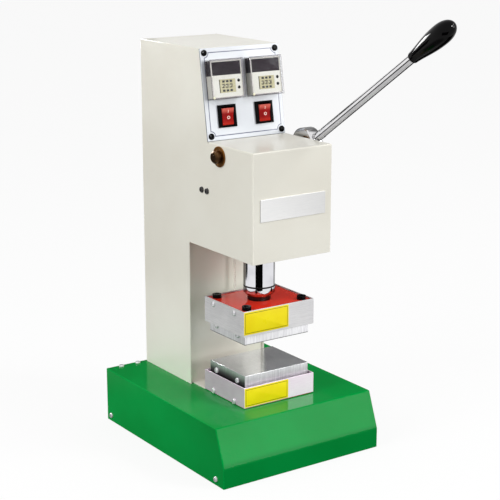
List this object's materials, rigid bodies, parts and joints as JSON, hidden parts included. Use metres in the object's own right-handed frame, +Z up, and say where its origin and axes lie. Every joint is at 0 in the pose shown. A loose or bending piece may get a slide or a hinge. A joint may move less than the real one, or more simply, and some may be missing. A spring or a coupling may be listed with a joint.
{
  "type": "manual lever heat press",
  "caption": "Tabletop lever heat press: heated platens in a sheet-metal C-frame on a box base, cam-driven ram, tilted panel with temperature controllers and rocker switches.",
  "frame": {"origin": "middle of the base's underside, on the table", "axes": "+Z up, the front with the platens faces -Y, the lever is on the +X side"},
  "size_m": [0.2492, 0.4663, 0.5747],
  "materials": {
    "green_paint": "glossy powder coat",
    "cream_paint": "satin powder coat",
    "panel_white": "printed panel",
    "stainless": "brushed sheet",
    "platen_aluminium": "ground and polished",
    "plate_aluminium": "brushed",
    "red_board": "glossy laminate",
    "chrome": "polished",
    "plain_steel": "turned steel",
    "zinc_screws": "bright zinc",
    "black_screws": "black oxide",
    "brass": "turned brass",
    "grip_black": "moulded, glossy",
    "black_plastic": "moulded",
    "cream_plastic": "moulded",
    "smoked_window": "smoked acrylic",
    "clear_plastic": "clear moulded plastic",
    "rocker_red": "translucent red moulding",
    "drum_ivory": "moulded with plain numerals",
    "button_dark": "moulded",
    "lead_sleeve": "glass-fibre sleeve"
  },
  "bodies": {
    "frame": {"base_shell": "green_paint", "base_tray": "plain_steel", "power_inlet": "black_plastic", "frame_screws": "zinc_screws", "side_plate_left": "cream_paint", "side_plate_right": "cream_paint", "column_cover": "cream_paint", "column_front_cover": "cream_paint", "head_cover": "cream_paint", "guide_plate": "cream_paint", "guide_bush": "brass", "shaft_bushes": "brass", "control_panel": "panel_white", "panel_screws": "black_screws", "name_plate": "plate_aluminium", "controller_cases": "cream_plastic", "display_windows": "smoked_window", "switch_housings": "black_plastic", "lower_board": "red_board", "lower_shield": "stainless", "lower_platen": "platen_aluminium", "lower_heaters": "plain_steel", "return_spring": "plain_steel", "heater_lead": "lead_sleeve"},
    "lever": {"lever_shaft": "plain_steel", "press_cam": "plain_steel", "lever_hub": "chrome", "lever_rod": "chrome", "lever_grip": "grip_black"},
    "ram_head": {"ram": "chrome", "roller_pin": "plain_steel", "upper_board": "red_board", "cap_screws": "black_screws", "upper_shield": "stainless", "upper_platen": "platen_aluminium", "upper_heaters": "plain_steel", "upper_screws": "zinc_screws"},
    "cam_roller": {"cam_roller": "plain_steel"},
    "rocker_left": {"rocker_left": "rocker_red"},
    "rocker_right": {"rocker_right": "rocker_red"},
    "clear_cover_left": {"clear_cover_left": "clear_plastic"},
    "clear_cover_right": {"clear_cover_right": "clear_plastic"},
    "number_drum_left_1": {"number_drum_left_1": "drum_ivory"},
    "number_drum_left_2": {"number_drum_left_2": "drum_ivory"},
    "number_drum_left_3": {"number_drum_left_3": "drum_ivory"},
    "number_drum_right_1": {"number_drum_right_1": "drum_ivory"},
    "number_drum_right_2": {"number_drum_right_2": "drum_ivory"},
    "number_drum_right_3": {"number_drum_right_3": "drum_ivory"},
    "plus_button_left_1": {"plus_button_left_1": "button_dark"},
    "minus_button_left_1": {"minus_button_left_1": "button_dark"},
    "plus_button_left_2": {"plus_button_left_2": "button_dark"},
    "minus_button_left_2": {"minus_button_left_2": "button_dark"},
    "plus_button_left_3": {"plus_button_left_3": "button_dark"},
    "minus_button_left_3": {"minus_button_left_3": "button_dark"},
    "plus_button_right_1": {"plus_button_right_1": "button_dark"},
    "minus_button_right_1": {"minus_button_right_1": "button_dark"},
    "plus_button_right_2": {"plus_button_right_2": "button_dark"},
    "minus_button_right_2": {"minus_button_right_2": "button_dark"},
    "plus_button_right_3": {"plus_button_right_3": "button_dark"},
    "minus_button_right_3": {"minus_button_right_3": "button_dark"}
  },
  "joints": [
    {"name": "lever_turn", "type": "hinge", "parent": "frame", "child": "lever", "pos_m": [0, -0.047, 0.394], "axis": [1, 0, 0], "range_deg": [0, 90]},
    {"name": "ram_slide", "type": "slide", "parent": "frame", "child": "ram_head", "axis": [0, 0, -1], "range_m": [0, 0.0406], "stiffness_N_per_m": 600, "springref_m": -0.15, "deforming": ["return_spring", "heater_lead"]},
    {"name": "cam_roller_spin", "type": "hinge", "parent": "ram_head", "child": "cam_roller", "pos_m": [0, -0.047, 0.362], "axis": [1, 0, 0], "continuous": true},
    {"name": "rocker_left_tilt", "type": "hinge", "parent": "frame", "child": "rocker_left", "pos_m": [-0.0284, -0.01299, 0.43787], "axis": [-1, 0, 0], "range_deg": [0, 16]},
    {"name": "rocker_right_tilt", "type": "hinge", "parent": "frame", "child": "rocker_right", "pos_m": [0.0284, -0.01299, 0.43787], "axis": [-1, 0, 0], "range_deg": [0, 16]},
    {"name": "clear_cover_left_flip", "type": "hinge", "parent": "frame", "child": "clear_cover_left", "pos_m": [-0.03, -0.01144, 0.50677], "axis": [-1, 0, 0], "range_deg": [0, 105]},
    {"name": "clear_cover_right_flip", "type": "hinge", "parent": "frame", "child": "clear_cover_right", "pos_m": [0.03, -0.01144, 0.50677], "axis": [-1, 0, 0], "range_deg": [0, 105]},
    {"name": "number_drum_left_1_spin", "type": "hinge", "parent": "frame", "child": "number_drum_left_1", "pos_m": [-0.0356, -0.01354, 0.47597], "axis": [1, 0, 0], "continuous": true},
    {"name": "number_drum_left_2_spin", "type": "hinge", "parent": "frame", "child": "number_drum_left_2", "pos_m": [-0.03, -0.01354, 0.47597], "axis": [1, 0, 0], "continuous": true},
    {"name": "number_drum_left_3_spin", "type": "hinge", "parent": "frame", "child": "number_drum_left_3", "pos_m": [-0.0244, -0.01354, 0.47597], "axis": [1, 0, 0], "continuous": true},
    {"name": "number_drum_right_1_spin", "type": "hinge", "parent": "frame", "child": "number_drum_right_1", "pos_m": [0.0244, -0.01354, 0.47597], "axis": [1, 0, 0], "continuous": true},
    {"name": "number_drum_right_2_spin", "type": "hinge", "parent": "frame", "child": "number_drum_right_2", "pos_m": [0.03, -0.01354, 0.47597], "axis": [1, 0, 0], "continuous": true},
    {"name": "number_drum_right_3_spin", "type": "hinge", "parent": "frame", "child": "number_drum_right_3", "pos_m": [0.0356, -0.01354, 0.47597], "axis": [1, 0, 0], "continuous": true},
    {"name": "plus_button_left_1_press", "type": "slide", "parent": "frame", "child": "plus_button_left_1", "axis": [0, 0.9877, -0.1564], "range_m": [0, 0.0007], "stiffness_N_per_m": 60, "springref_m": -0.001},
    {"name": "minus_button_left_1_press", "type": "slide", "parent": "frame", "child": "minus_button_left_1", "axis": [0, 0.9877, -0.1564], "range_m": [0, 0.0007], "stiffness_N_per_m": 60, "springref_m": -0.001},
    {"name": "plus_button_left_2_press", "type": "slide", "parent": "frame", "child": "plus_button_left_2", "axis": [0, 0.9877, -0.1564], "range_m": [0, 0.0007], "stiffness_N_per_m": 60, "springref_m": -0.001},
    {"name": "minus_button_left_2_press", "type": "slide", "parent": "frame", "child": "minus_button_left_2", "axis": [0, 0.9877, -0.1564], "range_m": [0, 0.0007], "stiffness_N_per_m": 60, "springref_m": -0.001},
    {"name": "plus_button_left_3_press", "type": "slide", "parent": "frame", "child": "plus_button_left_3", "axis": [0, 0.9877, -0.1564], "range_m": [0, 0.0007], "stiffness_N_per_m": 60, "springref_m": -0.001},
    {"name": "minus_button_left_3_press", "type": "slide", "parent": "frame", "child": "minus_button_left_3", "axis": [0, 0.9877, -0.1564], "range_m": [0, 0.0007], "stiffness_N_per_m": 60, "springref_m": -0.001},
    {"name": "plus_button_right_1_press", "type": "slide", "parent": "frame", "child": "plus_button_right_1", "axis": [0, 0.9877, -0.1564], "range_m": [0, 0.0007], "stiffness_N_per_m": 60, "springref_m": -0.001},
    {"name": "minus_button_right_1_press", "type": "slide", "parent": "frame", "child": "minus_button_right_1", "axis": [0, 0.9877, -0.1564], "range_m": [0, 0.0007], "stiffness_N_per_m": 60, "springref_m": -0.001},
    {"name": "plus_button_right_2_press", "type": "slide", "parent": "frame", "child": "plus_button_right_2", "axis": [0, 0.9877, -0.1564], "range_m": [0, 0.0007], "stiffness_N_per_m": 60, "springref_m": -0.001},
    {"name": "minus_button_right_2_press", "type": "slide", "parent": "frame", "child": "minus_button_right_2", "axis": [0, 0.9877, -0.1564], "range_m": [0, 0.0007], "stiffness_N_per_m": 60, "springref_m": -0.001},
    {"name": "plus_button_right_3_press", "type": "slide", "parent": "frame", "child": "plus_button_right_3", "axis": [0, 0.9877, -0.1564], "range_m": [0, 0.0007], "stiffness_N_per_m": 60, "springref_m": -0.001},
    {"name": "minus_button_right_3_press", "type": "slide", "parent": "frame", "child": "minus_button_right_3", "axis": [0, 0.9877, -0.1564], "range_m": [0, 0.0007], "stiffness_N_per_m": 60, "springref_m": -0.001}
  ],
  "couplings": [
    {"joint": "ram_slide", "follows": "lever_turn", "m_per_rad": 0.025783},
    {"joint": "cam_roller_spin", "follows": "lever_turn", "ratio": -3.5}
  ]
}
